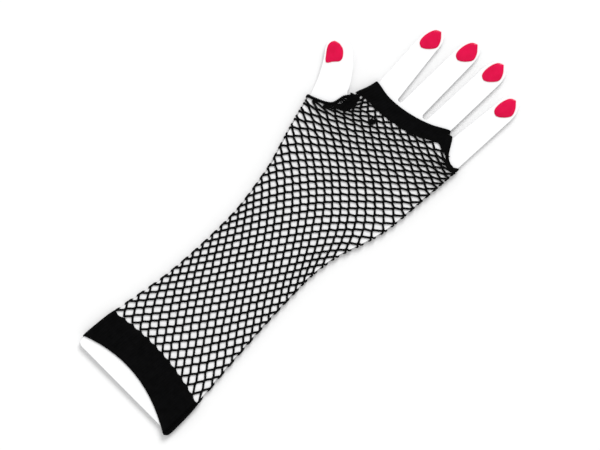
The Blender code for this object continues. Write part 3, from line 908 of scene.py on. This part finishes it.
def build_net_knot():
    """The knot in the net's yarn near the knuckle band, with its two short ends."""
    rng = np.random.default_rng(SEED + 2)
    t = np.linspace(-1, 1, 13)
    count = (KNOT_LOOPS, 1)
    angle = rng.uniform(0, math.pi, count)
    curl = rng.uniform(-1.5, 1.5, count)
    half = rng.uniform(*LOOP_HALF, count)
    x = NET_KNOT[0] + half * t * np.cos(angle) - curl * (1 - t**2) * np.sin(angle)
    y = NET_KNOT[1] + half * t * np.sin(angle) + curl * (1 - t**2) * np.cos(angle)
    paths, ups = on_face(np.stack([x, y], -1), rng.uniform(0.9, 1.7, count) - 0.4 * t**2, 1)
    yarn_piece("net_knot", paths, KNOT_YARN, paths - ups)


build_gather()
build_net_knot()

# ---- The board and its nails ----

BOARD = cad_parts["hand_form"].data
BOARD.materials.clear()
BOARD.materials.append(COATED_CARD)


def build_nail(node):
    """A domed, lacquered nail on the outline of its CAD solid."""
    ys, lefts, rights = reach(node, 1, 30, trim=0.02)
    around = np.concatenate([np.stack([rights, ys], -1), np.stack([lefts, ys], -1)[::-1]])
    around = np.concatenate([around, around[:1]])
    travel = np.concatenate([[0], np.cumsum(np.linalg.norm(np.diff(around, axis=0), axis=1))])
    at = np.linspace(0, travel[-1], NAIL_POINTS + 1)[:-1]
    outline = np.stack([np.interp(at, travel, around[:, n]) for n in (0, 1)], -1)
    centre = outline.mean(0)
    rings = []
    for share, height in NAIL_DOME:
        ring = centre + (outline - centre) * share
        rings.append(np.concatenate([ring, np.full((len(ring), 1), height)], axis=1))
    made = swept(np.array(rings)[None])
    make_piece(node + "_lacquer", made, LACQUER, [node], "display_hand")


for nail in ("thumb_nail", "index_nail", "middle_nail", "ring_nail", "little_nail"):
    build_nail(nail)

# Each piece of the glove's knit gets its own copy of its mesh.
for piece in GLOVE_PIECES:
    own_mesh(piece)

# ---- Stage, light and camera ----

VIEW_CENTRE = (15.6, -6.35)
VIEW_WIDTH = 420.0
VIEW_TURN = 46.5
CAMERA_HEIGHT = 3000.0
SENSOR = 36.0
FLOOR_HALF = 3000.0
SKY_STRENGTH = 0.72
LAMP_ENERGY = 1.7
LAMP_ANGLE = 28.0
LAMP_PLACE = (-0.42, 0.85, 0.95)


def stage_material():
    """A matt, nearly white floor."""
    made = Shader("stage_white", Roughness=0.9, Specular_IOR_Level=0.0)
    made.colour(made.ramp(made.noise(400.0), (0.3, (0.93, 0.93, 0.93)), (0.7, (0.94, 0.94, 0.94))))
    return made.material


def placed(name, data):
    """A new object in the scene, for data that isn't part of the glove."""
    found = bpy.data.objects.new(name, data)
    bpy.context.scene.collection.objects.link(found)
    return found


def build_stage():
    """The floor, an even sky, one soft lamp, and the camera at the photo's angle."""
    corners = [(-1, -1, 0), (1, -1, 0), (1, 1, 0), (-1, 1, 0)]
    mesh = bpy.data.meshes.new("floor")
    mesh.from_pydata([tuple(c * FLOOR_HALF * MM for c in at) for at in corners], [], [(0, 1, 2, 3)])
    mesh.materials.append(stage_material())
    placed("floor", mesh)

    world = bpy.data.worlds.new("studio")
    bpy.context.scene.world = world
    world.use_nodes = True
    sky = world.node_tree.nodes["Background"]
    sky.inputs["Color"].default_value = (1, 1, 1, 1)
    sky.inputs["Strength"].default_value = SKY_STRENGTH

    lamp = bpy.data.lights.new("soft_light", "SUN")
    lamp.angle = math.radians(LAMP_ANGLE)
    lamp.energy = LAMP_ENERGY
    holder = placed("soft_light", lamp)
    holder.location = LAMP_PLACE
    holder.rotation_mode = "QUATERNION"
    holder.rotation_quaternion = (-holder.location).to_track_quat("-Z", "Y")

    camera = bpy.data.cameras.new("camera")
    camera.sensor_width = SENSOR
    camera.lens = SENSOR * CAMERA_HEIGHT / VIEW_WIDTH
    camera.clip_end = 20.0
    eye = placed("camera", camera)
    eye.location = (VIEW_CENTRE[0] * MM, VIEW_CENTRE[1] * MM, CAMERA_HEIGHT * MM)
    eye.rotation_euler = (0, 0, math.radians(VIEW_TURN))
    bpy.context.scene.camera = eye
    bpy.context.scene.view_settings.view_transform = "Standard"


build_stage()
